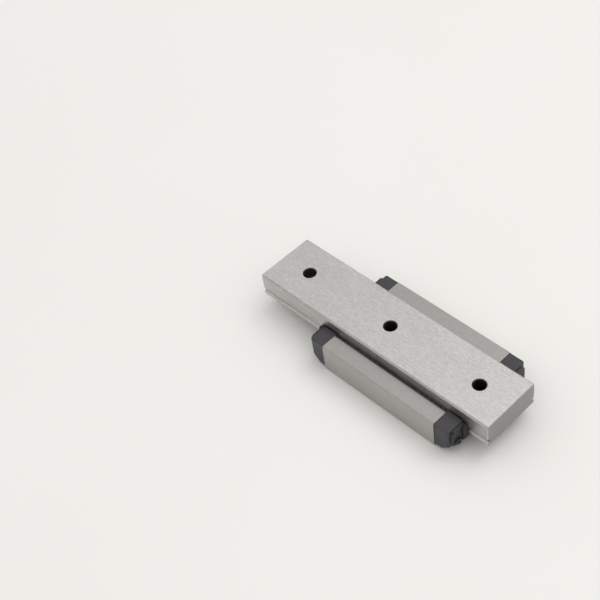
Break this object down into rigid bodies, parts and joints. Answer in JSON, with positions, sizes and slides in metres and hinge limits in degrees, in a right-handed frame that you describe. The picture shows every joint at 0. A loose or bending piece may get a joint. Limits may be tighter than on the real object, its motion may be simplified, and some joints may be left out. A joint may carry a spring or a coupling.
{
  "type": "linear guide carriage",
  "caption": "Wide miniature linear guide: a ball carriage with end caps and seals on a short length of drilled rail, lying with its mounting face down.",
  "frame": {"origin": "centre of the carriage's mounting face, which faces down", "axes": "+X along the rail, towards the end nearer the carriage; +Z from the carriage's mounting face to the rail's base, which faces up; +Y across the rail"},
  "size_m": [0.08, 0.03, 0.012],
  "materials": {
    "rail_steel": "fine ground hardened steel",
    "block_steel": "ground hardened steel, slightly darker than the rail",
    "end_resin": "black moulded resin",
    "seal_backing": "black coated backing plate",
    "seal_rubber": "black rubber",
    "screw_steel": "dark plated steel",
    "guide_resin": "natural white resin",
    "ball_steel": "polished bearing steel",
    "wire_steel": "bright drawn wire"
  },
  "bodies": {
    "rail": {"rail": "rail_steel"},
    "carriage": {"carriage_block": "block_steel", "front_end_plate": "end_resin", "rear_end_plate": "end_resin", "front_seal_plate": "seal_backing", "rear_seal_plate": "seal_backing", "front_seal_lip": "seal_rubber", "rear_seal_lip": "seal_rubber", "front_end_screws": "screw_steel", "rear_end_screws": "screw_steel", "front_left_return_guide": "guide_resin", "front_right_return_guide": "guide_resin", "rear_left_return_guide": "guide_resin", "rear_right_return_guide": "guide_resin", "left_return_liner": "guide_resin", "right_return_liner": "guide_resin", "left_loaded_balls": "ball_steel", "right_loaded_balls": "ball_steel", "left_return_balls": "ball_steel", "right_return_balls": "ball_steel", "left_ball_wire": "wire_steel", "right_ball_wire": "wire_steel"}
  },
  "joints": [
    {"name": "carriage_slide", "type": "slide", "parent": "rail", "child": "carriage", "axis": [1, 0, 0], "range_m": [-0.0231, 0.0061]}
  ]
}
